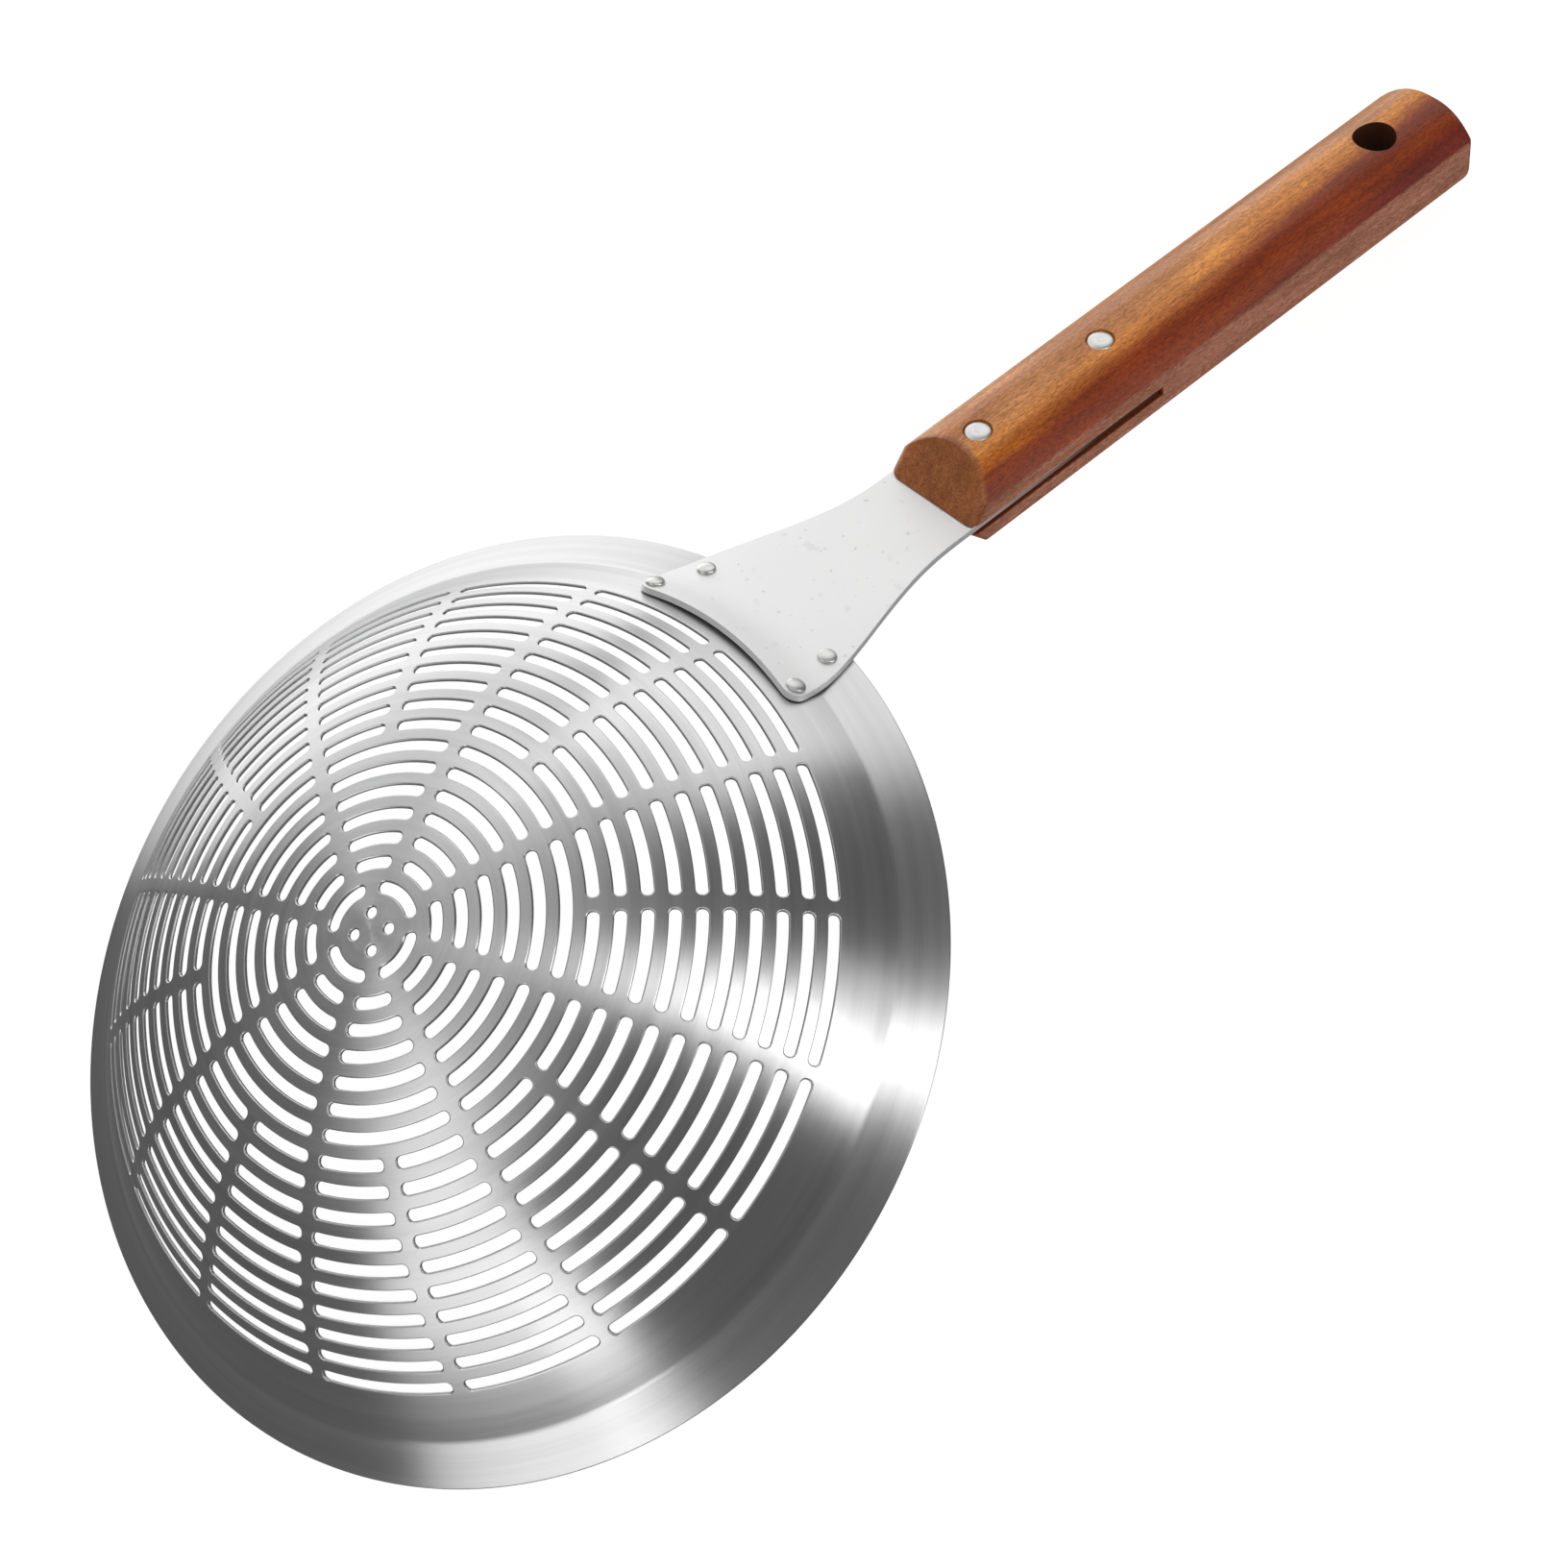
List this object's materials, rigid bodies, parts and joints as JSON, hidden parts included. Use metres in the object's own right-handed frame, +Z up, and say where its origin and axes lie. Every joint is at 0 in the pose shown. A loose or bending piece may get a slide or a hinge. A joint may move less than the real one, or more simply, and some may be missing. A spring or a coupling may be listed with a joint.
{
  "type": "slotted skimmer ladle",
  "caption": "Wide domed skimmer ladle with concentric rows of slots, a riveted steel neck plate and a wooden handle with a hang hole.",
  "frame": {"origin": "on the surface that the ladle rests on, under the middle of its bounding box", "axes": "+X runs from the bowl to the end of the handle, +Y is across the ladle to the left of someone who looks along +X, +Z is up with the dome upwards"},
  "size_m": [0.5044, 0.2598, 0.1061],
  "materials": {
    "bowl_steel": "satin, brushed in rings",
    "plate_steel": "fine matt, tumbled",
    "rivet_steel": "polished heads",
    "handle_wood": "oiled, satin varnish"
  },
  "bodies": {
    "root": {"bowl": "bowl_steel", "neck_plate": "plate_steel", "handle": "handle_wood", "bowl_rivet_inner_left": "rivet_steel", "bowl_rivet_inner_right": "rivet_steel", "bowl_rivet_outer_left": "rivet_steel", "bowl_rivet_outer_right": "rivet_steel", "handle_rivet_sleeve_front": "rivet_steel", "handle_rivet_sleeve_rear": "rivet_steel", "handle_rivet_pin_front": "rivet_steel", "handle_rivet_pin_rear": "rivet_steel"}
  },
  "joints": []
}
